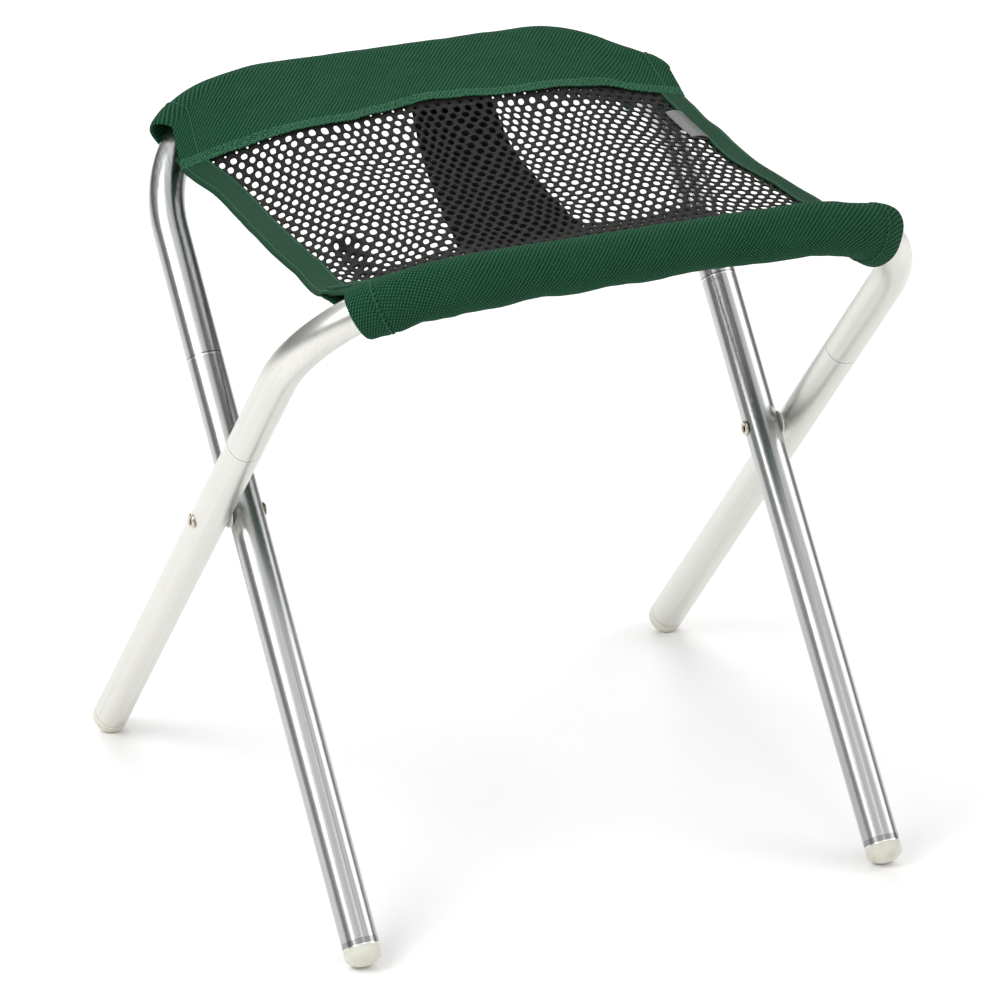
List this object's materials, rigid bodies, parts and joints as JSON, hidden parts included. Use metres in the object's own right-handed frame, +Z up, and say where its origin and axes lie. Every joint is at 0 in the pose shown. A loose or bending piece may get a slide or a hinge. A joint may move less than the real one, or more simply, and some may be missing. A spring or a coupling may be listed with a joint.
{
  "type": "folding camp stool",
  "caption": "Folding camp stool: two crossed U-shaped aluminium tube frames on riveted pivots, with a black net seat hung in green cloth sleeves.",
  "frame": {"origin": "on the floor, under the middle of the open stool", "axes": "+X along the seat's two bars, +Y to the back, +Z up"},
  "size_m": [0.3552, 0.3266, 0.3743],
  "materials": {
    "tube": "satin anodised aluminium tube with fine drawing lines",
    "foot_plastic": "off-white moulded polyethylene",
    "rivet_metal": "nickel-plated brass, rolled heads",
    "washer_nylon": "white nylon",
    "sleeve_cloth": "deep green woven polyester canvas",
    "binding_tape": "green woven edge tape with two rows of stitches",
    "seat_net": "black open knitted net",
    "strap_webbing": "black close-woven cloth",
    "tag_satin": "plain grey satin ribbon"
  },
  "bodies": {
    "seat_and_pivots": {"left_pivot_rivet": "rivet_metal", "left_pivot_washer": "washer_nylon", "left_binding": "binding_tape", "right_pivot_rivet": "rivet_metal", "right_pivot_washer": "washer_nylon", "right_binding": "binding_tape", "seat_mesh": "seat_net", "under_strap": "strap_webbing", "tag": "tag_satin"},
    "front_bar_frame": {"outer_bow": "tube", "outer_left_leg": "tube", "outer_left_ferrule": "tube", "outer_left_foot": "foot_plastic", "outer_right_leg": "tube", "outer_right_ferrule": "tube", "outer_right_foot": "foot_plastic", "front_sleeve": "sleeve_cloth"},
    "rear_bar_frame": {"inner_bow": "tube", "inner_left_leg": "tube", "inner_left_ferrule": "tube", "inner_left_foot": "foot_plastic", "inner_right_leg": "tube", "inner_right_ferrule": "tube", "inner_right_foot": "foot_plastic", "rear_sleeve": "sleeve_cloth"}
  },
  "joints": [
    {"name": "front_bar_fold", "type": "hinge", "parent": "seat_and_pivots", "child": "front_bar_frame", "pos_m": [0, 0.00053, 0.18775], "axis": [-1, 0, 0], "range_deg": [0, 34.5], "deforming": ["front_sleeve", "seat_mesh", "left_binding", "right_binding", "under_strap", "tag"]},
    {"name": "rear_bar_fold", "type": "hinge", "parent": "seat_and_pivots", "child": "rear_bar_frame", "pos_m": [0, 0.00053, 0.18775], "axis": [1, 0, 0], "range_deg": [0, 34.5], "deforming": ["rear_sleeve", "seat_mesh", "left_binding", "right_binding", "under_strap", "tag"]}
  ],
  "couplings": [
    {"joint": "rear_bar_fold", "follows": "front_bar_fold", "ratio": 1}
  ]
}
